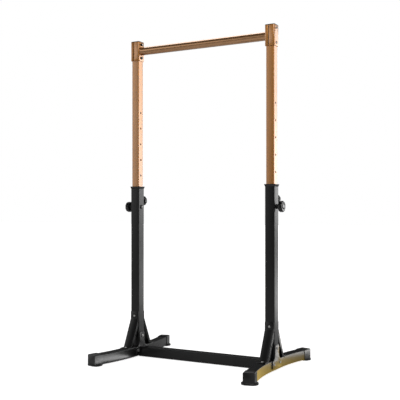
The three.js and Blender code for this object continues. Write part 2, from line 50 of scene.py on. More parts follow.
# Driving sizes that a node's box doesn't give.
WALL = 2 * MM
TUBE_CORNER = 4 * MM
HOLE_PITCH = 100 * MM
HOLE_COUNT = 7
PIN_HOLE = 6.2 * MM
EDGE = 0.5 * MM
BOLT = 4 * MM
NUT = 7.5 * MM
NUT_HEIGHT = 6.5 * MM
WASHER = 9 * MM
WASHER_HEIGHT = 1.4 * MM
FOOT_MIDDLE = 65 * MM
FOOT_BEND_ANGLE = math.radians(13.6)
FOOT_BEND_RADIUS = 1190 * MM
FOOT_END = 72 * MM
FOOT_WIDTH = 60 * MM
SHOE_WALL = 3.3 * MM
SHOE_REACH = 60 * MM
PAD_WIDE, PAD_LONG = 96 * MM, 71 * MM
PAD_CORNER = 34
PAD_AHEAD = 9.3 * MM
# Height and inset of each step up a shoe's pad, in millimetres.
PAD_STEPS = (
    (0, 3), (0.6, 1.2), (2, 0.2), (4.2, 0), (5, 0.9), (6, 0.9), (6.8, 0), (9.6, 0.2), (11.2, 1.4), (12, 3.6),
)
CROSSBAR = 60 * MM
GUSSET_PLATE = 5 * MM
BRACKET_CORNER = 6 * MM
BRACE_PLATE = 4 * MM
BRACE_BEND_HEIGHT = 238 * MM
BRACE_FOOT_START = 110 * MM
BRACE_FLANGE = 15
# Place along the slope and depth below it of a flange's corners, from its top and from its foot, in millimetres.
FLANGE_TOP = ((4, -2), (41, BRACE_FLANGE))
FLANGE_FOOT = ((-6, -2), (-10, BRACE_FLANGE))
LOBES = 10
LOBE_DEPTH = 0.05


class Box:
    """A CAD node's box at rest."""

    def __init__(self, node):
        low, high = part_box(node)
        self.low, self.high = Vector(low), Vector(high)
        self.centre = (self.low + self.high) / 2
        self.size = self.high - self.low


# ---------------------------------------------------------------- camera, light and floor
# The floor's own light for the camera, and the distances from the middle between which it grows.
FLOOR_LIFT = (0.8, 1.2)
FLOOR_LIFT_REACH = (1.2, 4.0)
WORLD_BASE = 0.025
# Each glow's direction, vertical squash, outer and inner cosine, and strength.
WORLD_GLOWS = (
    ((0.35, 0.93, 0.03), 1.6, 0.75, 0.97, 0.8),
    ((0.36, 0.93, 0.0), 2.0, 0.955, 0.995, 1.8),
    ((-0.88, -0.475, 0.12), 1.8, 0.7, 0.97, 1.3),
    ((0.87, 0.48, 0.0), 1.5, 0.85, 0.97, 3.5),
    ((-0.45, 0.5, 0.75), 1.0, 0.86, 0.97, 0.5),
)
# Rectangular softboxes: name, place, target, width, height and strength.
SOFTBOXES = (
    ("side_strip", (2.24, 4.03, 2.1), (0, 0, 1.4), 0.95, 2.6, 15),
    ("top_softbox", (-1.5, 1.4, 4.6), (0, 0, 1), 2.4, 2.0, 26),
    ("floor_fill", (1.6, -3.4, 4.2), (0.3, -0.6, 0), 3.0, 3.0, 105),
)
FLOOR_WASH = ("floor_wash", (1.9, 2.4, 3.5), (1.9, 2.4, 0), 2.0, 3.0, 20)
RIGHT_SIDE = ("right_foot", "right_outer_plate")
RIGHT_EDGES = (*RIGHT_SIDE, "right_front_strip", "right_back_strip", "right_back_shoe_sleeve")
LEFT_SIDE = ("left_foot", "left_front_shoe_sleeve")
TUBES = ("left_lower_tube", "right_lower_tube")
# Cards on the floor that only some pieces mirror: name, pieces, place, width, length, strength, colour.
CARDS = (
    ("warm_card", RIGHT_SIDE, (0.585, 0.15, 0.004), 0.19, 1.6, 1.5, (1.0, 0.64, 0.0)),
    ("pale_card", RIGHT_EDGES, (1.13, 0.3, 0.004), 0.8, 2.3, 34.0, (1.0, 0.98, 0.95)),
    ("far_card", TUBES, (2.6, 4.6, 0.004), 3.4, 5.4, 135.0, (1.0, 1.0, 1.0)),
    ("inner_card", LEFT_SIDE, (-0.28, -0.26, 0.004), 0.26, 0.34, 2.0, (1.0, 1.0, 1.0)),
)
FOCAL_PX, FRAME_PX, SENSOR = 756.0, 400.0, 36.0
CAMERA_AZIMUTH = math.radians(29.1)
CAMERA_DISTANCE, CAMERA_HEIGHT, CAMERA_SIDE = 4.615, 0.925, 0.008
HORIZON_BELOW_MIDDLE = 10.8


def make_camera():
    """The photo's view, level, from the right of straight ahead."""
    data = bpy.data.cameras.new("camera")
    data.sensor_width = SENSOR
    data.lens = SENSOR * FOCAL_PX / FRAME_PX
    data.shift_y = HORIZON_BELOW_MIDDLE / FRAME_PX
    data.clip_end = 200
    camera = bpy.data.objects.new("camera", data)
    bpy.context.collection.objects.link(camera)
    ahead = Vector((-math.sin(CAMERA_AZIMUTH), math.cos(CAMERA_AZIMUTH), 0))
    right = Vector((ahead.y, -ahead.x, 0))
    camera.location = Z * CAMERA_HEIGHT - ahead * CAMERA_DISTANCE - right * CAMERA_SIDE
    camera.rotation_mode = "QUATERNION"
    camera.rotation_quaternion = ahead.to_track_quat("-Z", "Y")
    bpy.context.scene.camera = camera


def area_light(name, place, target, width, height, strength, colour=(1, 1, 1)):
    data = bpy.data.lights.new(name, "AREA")
    data.shape = "RECTANGLE"
    data.size, data.size_y = width, height
    data.energy = strength
    data.color = colour
    light = bpy.data.objects.new(name, data)
    bpy.context.collection.objects.link(light)
    light.location = place
    light.rotation_mode = "QUATERNION"
    light.rotation_quaternion = (Vector(target) - Vector(place)).to_track_quat("-Z", "Y")
    light.visible_camera = False
    return light


def make_world():
    """A dim studio with soft glows around it, in front of a white backdrop that only the camera sees."""
    world = bpy.data.worlds.new("studio")
    bpy.context.scene.world = world
    world.use_nodes = True
    tree = world.node_tree
    tree.nodes.clear()
    link = tree.links.new
    where = tree.nodes.new("ShaderNodeTexCoord").outputs["Generated"]
    base = tree.nodes.new("ShaderNodeValue")
    base.outputs[0].default_value = WORLD_BASE
    total = base.outputs[0]
    for direction, squash, start, end, strength in WORLD_GLOWS:
        squashed = tree.nodes.new("ShaderNodeVectorMath")
        squashed.operation = "MULTIPLY"
        squashed.inputs[1].default_value = (1, 1, squash)
        link(where, squashed.inputs[0])
        unit = tree.nodes.new("ShaderNodeVectorMath")
        unit.operation = "NORMALIZE"
        link(squashed.outputs["Vector"], unit.inputs[0])
        toward = tree.nodes.new("ShaderNodeVectorMath")
        toward.operation = "DOT_PRODUCT"
        toward.inputs[1].default_value = (Vector(direction) * Vector((1, 1, squash))).normalized()
        link(unit.outputs["Vector"], toward.inputs[0])
        glow = tree.nodes.new("ShaderNodeMapRange")
        glow.interpolation_type = "SMOOTHSTEP"
        for socket, value in zip(("From Min", "From Max", "To Min", "To Max"), (start, end, 0, strength)):
            glow.inputs[socket].default_value = value
        link(toward.outputs["Value"], glow.inputs["Value"])
        add = tree.nodes.new("ShaderNodeMath")
        link(glow.outputs["Result"], add.inputs[0])
        link(total, add.inputs[1])
        total = add.outputs[0]
    path = tree.nodes.new("ShaderNodeLightPath")
    mix = tree.nodes.new("ShaderNodeMix")
    mix.inputs[3].default_value = 1.0
    background = tree.nodes.new("ShaderNodeBackground")
    background.inputs["Color"].default_value = (1, 1, 1, 1)
    output = tree.nodes.new("ShaderNodeOutputWorld")
    link(path.outputs["Is Camera Ray"], mix.inputs[0])
    link(total, mix.inputs[2])
    link(mix.outputs[0], background.inputs["Strength"])
    link(background.outputs["Background"], output.inputs["Surface"])


def make_stage():
    bm = bmesh.new()
    bmesh.ops.create_grid(bm, x_segments=1, y_segments=1, size=40)
    mesh = bpy.data.meshes.new("floor")
    bm.to_mesh(mesh)
    bm.free()
    floor = bpy.data.objects.new("floor", mesh)
    bpy.context.collection.objects.link(floor)
    floor.data.materials.append(MATERIALS["floor"])


def make_lights():
    """Softboxes above, and cards on the floor. The cards light nothing but their own pieces."""
    for softbox in SOFTBOXES:
        area_light(*softbox)
    area_light(*FLOOR_WASH).visible_glossy = False
    for name, pieces, place, width, length, strength, colour in CARDS:
        card = area_light(name, place, Vector(place) + Z, width, length, strength, colour)
        card.visible_diffuse = False
        group = bpy.data.collections.new(name)
        for piece in pieces:
            group.objects.link(bpy.data.objects[piece])
        card.light_linking.receiver_collection = group
        card.light_linking.blocker_collection = group


# ---------------------------------------------------------------- materials
class Shader:
    """A small builder for one Principled material."""

    def __init__(self, name, **sockets):
        self.material = bpy.data.materials.new(name)
        self.material.use_nodes = True
        self.tree = self.material.node_tree
        self.surface = self.tree.nodes["Principled BSDF"]
        for socket, value in sockets.items():
            self.surface.inputs[socket.replace("_", " ")].default_value = value

    def node(self, kind, inputs=(), **settings):
        made = self.tree.nodes.new(kind)
        for key, value in settings.items():
            setattr(made, key, value)
        for key, value in dict(inputs).items():
            if isinstance(value, bpy.types.NodeSocket):
                self.tree.links.new(value, made.inputs[key])
            else:
                made.inputs[key].default_value = value
        return made

    def place(self, scale=(1, 1, 1)):
        where = self.node("ShaderNodeTexCoord").outputs["Object"]
        return self.node("ShaderNodeMapping", {"Vector": where, "Scale": scale}).outputs["Vector"]

    def noise(self, scale, detail=3, roughness=0.5, stretch=(1, 1, 1)):
        inputs = {"Vector": self.place(stretch), "Scale": scale, "Detail": detail, "Roughness": roughness}
        return self.node("ShaderNodeTexNoise", inputs).outputs["Fac"]

    def ramp(self, value, low, high, start=0.35, end=0.65):
        made = self.node("ShaderNodeValToRGB", {"Fac": value})
        stops = made.color_ramp.elements
        stops[0].position, stops[0].color = start, (*low, 1)
        stops[1].position, stops[1].color = end, (*high, 1)
        return made.outputs["Color"]

    def span(self, value, low, high):
        inputs = {"Value": value, "To Min": low, "To Max": high}
        return self.node("ShaderNodeMapRange", inputs).outputs["Result"]

    def mix(self, factor, first, second, blend="MIX"):
        made = self.node("ShaderNodeMix", data_type="RGBA", blend_type=blend)
        for key, value in ((0, factor), (6, first), (7, second)):
            if isinstance(value, bpy.types.NodeSocket):
                self.tree.links.new(value, made.inputs[key])
            else:
                made.inputs[key].default_value = value if key == 0 else (*value, 1)
        return made.outputs[2]

    def bump(self, height, strength, distance):
        inputs = {"Height": height, "Strength": strength, "Distance": distance}
        made = self.node("ShaderNodeBump", inputs)
        self.set("Normal", made.outputs["Normal"])

    def set(self, socket, value):
        self.tree.links.new(value, self.surface.inputs[socket])


def bronze_paint(name, dark, light, roughness, coat):
    """Metallic paint: fine flake, a slow drift in tone and a little orange peel."""
    shader = Shader(name, Metallic=0.82, Coat_Weight=coat, Coat_Roughness=0.1, Coat_IOR=1.7)
    drift = shader.noise(5, 4, 0.55, (1, 1, 0.25))
    tone = shader.ramp(drift, dark, light, 0.3, 0.7)
    flake = shader.ramp(shader.noise(1400, 2, 0.7), (0.93, 0.93, 0.93), (1.07, 1.06, 1.05), 0.3, 0.7)
    shader.set("Base Color", shader.mix(1.0, tone, flake, "MULTIPLY"))
    smear = shader.noise(38, 3, 0.6, (1, 1, 0.12))
    shader.set("Roughness", shader.span(smear, roughness - 0.06, roughness + 0.08))
    shader.bump(shader.noise(420, 2, 0.5), 0.03, 0.0003)
    return shader.material


def powder_coat(name):
    """Black powder coat: a fine pebbled skin, slightly greyer where it catches dust."""
    shader = Shader(name, Metallic=0.0, Specular_IOR_Level=0.4)
    grain = shader.noise(900, 3, 0.6)
    speck = shader.ramp(grain, (0.004, 0.004, 0.004), (0.008, 0.008, 0.0083), 0.35, 0.75)
    dust = shader.ramp(shader.noise(7, 5, 0.6), (0.92, 0.92, 0.92), (1.2, 1.19, 1.17), 0.4, 0.75)
    shader.set("Base Color", shader.mix(1.0, speck, dust, "MULTIPLY"))
    shader.set("Roughness", shader.span(shader.noise(16, 4, 0.6), 0.24, 0.34))
    shader.bump(grain, 0.12, 0.0004)
    return shader.material


def moulded_plastic(name, low, high, roughness, texture):
    """Moulded plastic with a spark-eroded grain."""
    shader = Shader(name, Specular_IOR_Level=0.5)
    cloud = shader.noise(22, 4, 0.6)
    shader.set("Base Color", shader.ramp(cloud, low, high, 0.35, 0.7))
    shader.set("Roughness", shader.span(shader.noise(60, 3, 0.6), roughness - 0.05, roughness + 0.08))
    shader.bump(shader.noise(texture, 3, 0.6), 0.08, 0.0003)
    return shader.material


def plated_steel(name, low, high, roughness, grain):
    """Plated or oiled steel with fine turning marks."""
    shader = Shader(name, Metallic=1.0)
    shader.set("Base Color", shader.ramp(shader.noise(90, 4, 0.6), low, high, 0.3, 0.7))
    marks = shader.noise(grain, 2, 0.5)
    shader.set("Roughness", shader.span(marks, roughness - 0.06, roughness + 0.1))
    shader.bump(marks, 0.08, 0.0002)
    return shader.material


def floor_paint():
    """Pale studio floor, with a little light of its own for the camera alone."""
    shader = Shader("floor_paint", Roughness=0.9, Specular_IOR_Level=0.1)
    shader.set("Base Color", shader.ramp(shader.noise(2, 3, 0.5), (0.86, 0.86, 0.86), (0.88, 0.88, 0.88)))
    shader.surface.inputs["Emission Color"].default_value = (1, 1, 1, 1)
    where = shader.node("ShaderNodeTexCoord").outputs["Object"]
    far = shader.node("ShaderNodeVectorMath", {0: where}, operation="LENGTH").outputs["Value"]
    near, wide = FLOOR_LIFT_REACH
    low, high = FLOOR_LIFT
    inputs = {"Value": far, "From Min": near, "From Max": wide, "To Min": low, "To Max": high}
    lift = shader.node("ShaderNodeMapRange", inputs).outputs["Result"]
    seen = shader.node("ShaderNodeLightPath").outputs["Is Camera Ray"]
    glow = shader.node("ShaderNodeMath", {0: seen, 1: lift}, operation="MULTIPLY").outputs[0]
    shader.set("Emission Strength", glow)
    return shader.material


MATERIALS = {
    "floor": floor_paint(),
    "bronze": bronze_paint("bronze_paint", (0.5, 0.215, 0.052), (0.56, 0.245, 0.062), 0.46, 1.0),
    "bronze_bar": bronze_paint("bronze_bar_paint", (0.5, 0.25, 0.1), (0.56, 0.285, 0.12), 0.2, 0.9),
    "powder_coat": powder_coat("black_powder_coat"),
    "plastic": moulded_plastic("shoe_plastic", (0.006, 0.006, 0.006), (0.011, 0.011, 0.0115), 0.3, 700),
    "knob": moulded_plastic("knob_plastic", (0.004, 0.004, 0.004), (0.007, 0.007, 0.007), 0.13, 300),
    "nylon": moulded_plastic("nylon", (0.6, 0.57, 0.5), (0.7, 0.67, 0.6), 0.45, 600),
    "steel": plated_steel("zinc_plate", (0.42, 0.42, 0.41), (0.6, 0.6, 0.59), 0.3, 700),
    "black_steel": plated_steel("black_oxide", (0.02, 0.02, 0.02), (0.045, 0.043, 0.04), 0.38, 700),
}


# ---------------------------------------------------------------- mesh tools
def rounded_section(width, height, radius, steps=6):
    """Points of a rounded rectangle about the origin, anticlockwise."""
    radius = max(radius, 0.2 * MM)
    points = []
    for quarter in range(4):
        turn = quarter * math.pi / 2
        corner_x = (width / 2 - radius) * (1 if quarter in (0, 3) else -1)
        corner_y = (height / 2 - radius) * (1 if quarter in (0, 1) else -1)
        for step in range(steps + 1):
            angle = turn + math.pi / 2 * step / steps
            points.append((corner_x + radius * math.cos(angle), corner_y + radius * math.sin(angle)))
    return points


def circle_section(radius, count=48):
    return [(radius * math.cos(a), radius * math.sin(a)) for a in turns(count)]


def hexagon_section(radius, count=48, limit=None):
    """A hexagon of that inner radius, rounded off where it would pass the limit radius."""
    points = []
    for angle in turns(count):
        reach = radius / math.cos((angle + math.pi / 6) % (math.pi / 3) - math.pi / 6)
        reach = min(reach, limit) if limit else reach
        points.append((reach * math.cos(angle), reach * math.sin(angle)))
    return points


def turns(count):
    return [2 * math.pi * i / count for i in range(count)]


def frame_along(axis):
    """Two directions square to the axis and to each other."""
    across = Y if abs(axis.z) > 0.5 else Z
    second = axis.cross(across).normalized()
    return second.cross(axis).normalized(), second


def placed(section, centre, axis):
    """A flat section stood at a centre, square to an axis."""
    first, second = frame_along(axis)
    return [centre + first * x + second * y for x, y in section]


def skin(name, rings, material, loop=False, sharp=32):
    """A closed skin over rings of equal size. It is capped at both ends, or its last ring meets its first."""
    count = len(rings[0])
    faces = []
    for r in range(len(rings) if loop else len(rings) - 1):
        a, b = r * count, (r + 1) % len(rings) * count
        for i in range(count):
            j = (i + 1) % count
            faces.append((a + i, a + j, b + j, b + i))
    if not loop:
        last = (len(rings) - 1) * count
        faces.append(tuple(reversed(range(count))))
        faces.append(tuple(range(last, last + count)))
    mesh = bpy.data.meshes.new(name)
    mesh.from_pydata([tuple(p) for ring in rings for p in ring], [], faces)
    return link_mesh(name, mesh, material, sharp)


def link_mesh(name, mesh, material, sharp=32):
    bm = bmesh.new()
    bm.from_mesh(mesh)
    bmesh.ops.remove_doubles(bm, verts=bm.verts, dist=1e-6)
    bmesh.ops.recalc_face_normals(bm, faces=bm.faces)
    bm.to_mesh(mesh)
    bm.free()
    piece = bpy.data.objects.new(name, mesh)
    bpy.context.collection.objects.link(piece)
    mesh.materials.append(MATERIALS[material])
    smooth(mesh, sharp)
    return piece


def smooth(mesh, sharp):
    for face in mesh.polygons:
        face.use_smooth = True
    mesh.set_sharp_from_angle(angle=math.radians(sharp))


def bake(piece, sharp=32):
    """Applies a piece's modifiers."""
    graph = bpy.context.evaluated_depsgraph_get()
    mesh = bpy.data.meshes.new_from_object(piece.evaluated_get(graph))
    piece.modifiers.clear()
    piece.data = mesh
    smooth(mesh, sharp)


def combine(piece, others, operation="DIFFERENCE"):
    """Cuts the others out of a piece, or joins them to it, and removes them."""
    for other in others:
        modifier = piece.modifiers.new("boolean", "BOOLEAN")
        modifier.operation = operation
        modifier.solver = "EXACT"
        modifier.object = other
    bake(piece)
    for other in others:
        mesh = other.data
        bpy.data.objects.remove(other)
        bpy.data.meshes.remove(mesh)
    return piece


def bevel(piece, width, segments=2, angle=40):
    modifier = piece.modifiers.new("bevel", "BEVEL")
    modifier.width = width
    modifier.segments = segments
    modifier.limit_method = "ANGLE"
    modifier.angle_limit = math.radians(angle)
    bake(piece)


def turned(name, base, axis, profile, material, section=circle_section, count=48):
    """A round piece along an axis from (distance, radius) pairs, or (distance, section) pairs."""
    rings = []
    for distance, size in profile:
        shape = size if isinstance(size, list) else section(size, count)
        rings.append(placed(shape, base + axis * distance, axis))
    return skin(name, rings, material)


def tube_rings(profile, centre, axis, width, height, corner):
    """Rings of a rounded rectangular section from (distance, inset) pairs."""
    rings = []
    for distance, inset in profile:
        section = rounded_section(width - 2 * inset, height - 2 * inset, corner - inset)
        rings.append(placed(section, centre + axis * distance, axis))
    return rings


def hollow_profile(length, wall, edge=EDGE):
    return [
        (0, edge), (edge, 0), (length - edge, 0), (length, edge),
        (length, wall - edge / 2), (length - edge, wall), (edge, wall), (0, wall - edge / 2),
    ]


def square_tube(name, start, axis, length, width, height, material):
    profile = hollow_profile(length, WALL)
    rings = tube_rings(profile, start, axis, width, height, TUBE_CORNER)
    return skin(name, rings, material, loop=True)


def drill(centre, axis, radius, reach, face=None):
    """A cutter for a hole through both walls, with a light chamfer where it leaves the faces."""
    profile = [(-reach, radius), (reach, radius)]
    if face:
        lead = 0.5 * MM
        flare = reach - face + lead
        profile = [(-reach, radius + flare), (lead - face, radius), (face - lead, radius), (reach, radius + flare)]
    return turned("cutter", centre, axis, profile, "steel", count=32)


def extruded(name, outline, origin, along, up, axis, depth, material, edge=0.7 * MM):
    """A plate from an outline of (along, up) points, as thick as depth about its origin."""
    low = [origin + along * a + up * b - axis * depth / 2 for a, b in outline]
    high = [p + axis * depth for p in low]
    piece = skin(name, [low, high], material)
    if edge:
        bevel(piece, edge)
    return piece


def weld_bead(name, path, normals, radius, material):
    """A rippled weld along a closed line of points, half sunk in its corner."""
    rings = []
    count = len(path)
    for i, point in enumerate(path):
        ahead = (path[(i + 1) % count] - path[i - 1]).normalized()
        side = ahead.cross(normals[i]).normalized()
        ripple = radius * (1 + 0.14 * math.sin(2.1 * i) + 0.08 * math.sin(0.7 * i + 1))
        rings.append([
            point + (normals[i] * math.cos(a) + side * math.sin(a)) * ripple for a in turns(8)
        ])
    return skin(name, rings, material, loop=True, sharp=60)


def round_weld(name, centre, axis, radius, size, material, count=64):
    first, second = frame_along(axis)
    ways = [first * math.cos(a) + second * math.sin(a) for a in turns(count)]
    normals = [(way + axis).normalized() for way in ways]
    return weld_bead(name, [centre + way * radius for way in ways], normals, size, material)


def give(piece, body, slot, *nodes):
    """Lets a piece ride on a body and stand for CAD nodes, which it hides. The slot is not used."""
    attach(piece, body)
    if nodes:
        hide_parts(*nodes)
    return piece


# ---------------------------------------------------------------- fasteners
def thread_rings(base, axis, start, length, radius, pitch, count=24):
    """Rings of a screw thread of that outer radius."""
    depth = 0.3 * pitch
    rows = max(2, math.ceil(length / pitch * 4))
    first, second = frame_along(axis)
    rings = []
    for row in range(rows + 1):
        distance = start + length * row / rows
        ring = []
        for angle in turns(count):
            phase = (distance / pitch - angle / (2 * math.pi)) % 1
            reach = radius - 2 * depth * abs(phase - 0.5)
            ring.append(base + axis * distance + (first * math.cos(angle) + second * math.sin(angle)) * reach)
        rings.append(ring)
    return rings


def button_bolt(name, node, axis, body, slot, grip, nut_slot=None):
    """A button-head bolt with a hex socket, and a washer and nut on its far end."""
    box = Box(node)
    head_radius = min(box.size) / 2
    head_height = 5 * MM
    length = max(box.size) - head_height
    seat = box.centre + axis * (max(box.size) / 2 - head_height)
    socket = 2.6 * MM
    head = [
        (-0.2 * MM, circle_section(BOLT)),
        (0, circle_section(head_radius - 0.4 * MM)),
        (0.5 * MM, circle_section(head_radius)),
        (1.6 * MM, circle_section(head_radius * 0.98)),
        (3.2 * MM, circle_section(head_radius * 0.84)),
        (4.4 * MM, circle_section(head_radius * 0.62)),
        (head_height, circle_section(socket * 1.3)),
        (head_height - 0.2 * MM, hexagon_section(socket)),
        (head_height - 2.6 * MM, hexagon_section(socket)),
        (head_height - 3.0 * MM, circle_section(0.5 * MM)),
    ]
    shank = [(-length, BOLT - 0.9 * MM), (-length + 0.7 * MM, BOLT), (0, BOLT)]
    piece = turned(f"{name}_head", seat, axis, head, slot)
    give(piece, body, slot, node)
    stem = turned(f"{name}_shank", seat, axis, shank, slot, count=24)
    give(stem, body, slot, node)
    if grip:
        far = seat - axis * grip
        nut_slot = nut_slot or slot
        give(washer(f"{name}_washer", far, -axis, nut_slot), body, nut_slot, node)
        give(hex_nut(f"{name}_nut", far - axis * WASHER_HEIGHT, -axis, nut_slot), body, nut_slot, node)


def washer(name, base, axis, material, radius=WASHER):
    bore = BOLT + 0.3 * MM
    thick = WASHER_HEIGHT
    lip = 0.3 * MM
    profile = [(0.05 * MM, radius - lip), (lip, radius), (thick - lip, radius), (thick, radius - lip)]
    rings = [placed(circle_section(r), base + axis * d, axis) for d, r in profile]
    rings += [placed(circle_section(bore), base + axis * d, axis) for d in (thick, 0.05 * MM)]
    return skin(name, rings, material, loop=True)


def hex_nut(name, base, axis, material, size=NUT, height=NUT_HEIGHT, bore=BOLT):
    bore = bore + 0.25 * MM
    rim = size * 1.02
    cut = 0.7 * MM
    corner = size / math.cos(math.pi / 6)
    levels = [
        (0.05 * MM, hexagon_section(size, limit=rim)),
        (cut, hexagon_section(size, limit=corner - 0.1 * MM)),
        (height - cut, hexagon_section(size, limit=corner - 0.1 * MM)),
        (height, hexagon_section(size, limit=rim)),
        (height, circle_section(bore + 0.7 * MM)),
        (height - 0.7 * MM, circle_section(bore)),
        (0.7 * MM, circle_section(bore)),
        (0.05 * MM, circle_section(bore + 0.7 * MM)),
    ]
    rings = [placed(section, base + axis * distance, axis) for distance, section in levels]
    return skin(name, rings, material, loop=True, sharp=28)


# ---------------------------------------------------------------- knobs, pins and screws
def knob_section(radius, neck, full, count=168):
    """A lobed ring: round at the neck and fully lobed at the rim."""
    points = []
    share = min(1, max(0, (radius - neck) / (full - neck)))
    share = share * share * (3 - 2 * share)
    for angle in turns(count):
        valley = (1 - math.cos(LOBES * angle)) / 2
        reach = radius * (1 - LOBE_DEPTH * share * valley)
        points.append((reach * math.cos(angle), reach * math.sin(angle)))
    return points


def hand_knob(name, node, axis, body):
    """A lobed hand knob with a soft rim, a shallow dish and a round centre cap."""
    box = Box(node)
    length = abs(box.size.dot(axis))
    full = box.size.z / 2
    neck = 16 * MM
    base = box.centre - axis * length / 2
    shape = [
        (0.0, 0.4), (0.015, 0.455), (0.08, 0.47), (0.12, 0.53), (0.17, 0.7), (0.22, 0.88), (0.27, 0.965),
        (0.33, 0.995), (0.4, 1.0), (0.78, 1.0), (0.86, 0.99), (0.92, 0.955), (0.96, 0.89), (0.975, 0.8),
        (0.965, 0.7), (0.945, 0.6), (0.935, 0.52), (0.94, 0.49), (0.965, 0.475), (0.985, 0.44),
        (0.997, 0.3), (1.0, 0.1), (1.0, 0.02),
    ]
    rings = []
    for share, reach in shape:
        section = knob_section(full * reach, neck, full)
        rings.append(placed(section, base + axis * length * share, axis))
    piece = skin(name, rings, "knob", sharp=50)
    return give(piece, body, "knob", node)


def boss(name, node, axis, body, bore, weld_size=1.6 * MM):
    """A round boss or nut welded to a tube's face."""
    box = Box(node)
    length = abs(box.size.dot(axis))
    radius = max(box.size) / 2
    base = box.centre - axis * (length / 2 + 0.3 * MM)
    lip = 0.8 * MM
    levels = [
        (0, radius), (length - lip, radius), (length, radius - lip),
        (length, bore + lip), (length - lip, bore), (0, bore),
    ]
    rings = [placed(circle_section(r), base + axis * d, axis) for d, r in levels]
    give(skin(name, rings, "powder_coat", loop=True), body, "powder_coat", node)
    weld = round_weld(f"{name}_weld", base + axis * 0.3 * MM, axis, radius, weld_size, "powder_coat")
    give(weld, body, "powder_coat", node)


def lock_parts(side, sign):
    out = X * sign
    body = f"{side}_lock"
    pin = Box(f"{side}_lock_pin")
    radius = pin.size.z / 2
    length = pin.size.x
    tip = pin.centre - out * length / 2
    profile = [(0, radius * 0.3), (0.2 * MM, radius * 0.6), (2.2 * MM, radius), (length, radius)]
    piece = turned(f"{side}_lock_pin_shaft", tip, out, profile, "steel")
    give(piece, body, "steel", f"{side}_lock_pin")
    hand_knob(f"{side}_lock_grip", f"{side}_lock_knob", out, body)
    boss(f"{side}_lock_boss", f"{side}_pin_boss", out, "base_frame", PIN_HOLE)
    boss(f"{side}_lock_nut", f"{side}_pin_nut", -out, "base_frame", PIN_HOLE, 1.2 * MM)


def clamp_parts(side):
    body = f"{side}_clamp_handle"
    screw = Box(f"{side}_clamp_screw")
    radius = screw.size.x / 2
    base = Vector((screw.centre.x, screw.low.y, screw.centre.z))
    threaded = 0.6 * screw.size.y
    rings = [placed(circle_section(radius * 0.75, 24), base, Y)]
    rings += thread_rings(base, Y, 0.6 * MM, threaded, radius, 1.5 * MM)
    rings.append(placed(circle_section(radius, 24), base + Y * screw.size.y, Y))
    give(skin(f"{side}_clamp_thread", rings, "steel", sharp=20), body, "steel", f"{side}_clamp_screw")
    hand_knob(f"{side}_clamp_grip", f"{side}_clamp_knob", Y, body)
    boss(f"{side}_clamp_nut", f"{side}_clamp_boss", Y, "base_frame", 5.3 * MM)
    tip = Box(f"{side}_clamp_tip")
    reach = tip.size.x / 2
    profile = [(0, reach * 0.7), (0.8 * MM, reach), (tip.size.y - 0.5 * MM, reach), (tip.size.y, reach * 0.9)]
    nose = turned(f"{side}_clamp_nose", Vector((tip.centre.x, tip.low.y, tip.centre.z)), Y, profile, "nylon")
    give(nose, f"{side}_clamp_nose", "nylon", f"{side}_clamp_tip")


# ---------------------------------------------------------------- uprights, bar and brackets
def uprights(side):
    lower, upper = Box(f"{side}_lower_upright"), Box(f"{side}_upper_upright")
    pin, clamp = Box(f"{side}_lock_pin").centre.z, Box(f"{side}_clamp_screw").centre.z
    gusset_bolt, brace_bolt = Box(f"{side}_upright_bolt").centre.z, Box(f"{side}_brace_bolt").centre.z
    middle = Vector((lower.centre.x, lower.centre.y, 0))
    size, reach = lower.size.x, lower.size.x
    start = middle + Z * lower.low.z
    piece = square_tube(f"{side}_lower_tube", start, Z, lower.size.z, size, size, "powder_coat")
    combine(piece, [
        drill(middle + Z * pin, X, PIN_HOLE, reach),
        drill(middle + Z * gusset_bolt, X, BOLT + 0.5 * MM, reach),
        drill(middle + Z * brace_bolt, Y, BOLT + 0.5 * MM, reach),
        drill(middle + Y * reach / 2 + Z * clamp, Y, 5.4 * MM, reach / 3),
    ])
    give(piece, "base_frame", "powder_coat", f"{side}_lower_upright")

    size = upper.size.x
    start = middle + Z * upper.low.z
    piece = square_tube(f"{side}_upper_tube", start, Z, upper.size.z, size, size, "bronze")
    holes = [
        drill(middle + Z * (pin + i * HOLE_PITCH), X, PIN_HOLE, size, size / 2) for i in range(HOLE_COUNT)
    ]
    holes += [
        drill(middle + Z * Box(f"{side}_bracket_bolt_{end}").centre.z, X, BOLT + 0.5 * MM, size)
        for end in ("lower", "upper")
    ]
    give(combine(piece, holes), "upper_frame", "bronze", f"{side}_upper_upright")


def plug_rings(node, steps):
    """Rings along Z of rounded squares, from (height, width, corner) triples."""
    box = Box(node)
    middle = Vector((box.centre.x, box.centre.y, 0))
    return [placed(rounded_section(w, w, r), middle + Z * z, Z) for z, w, r in steps]


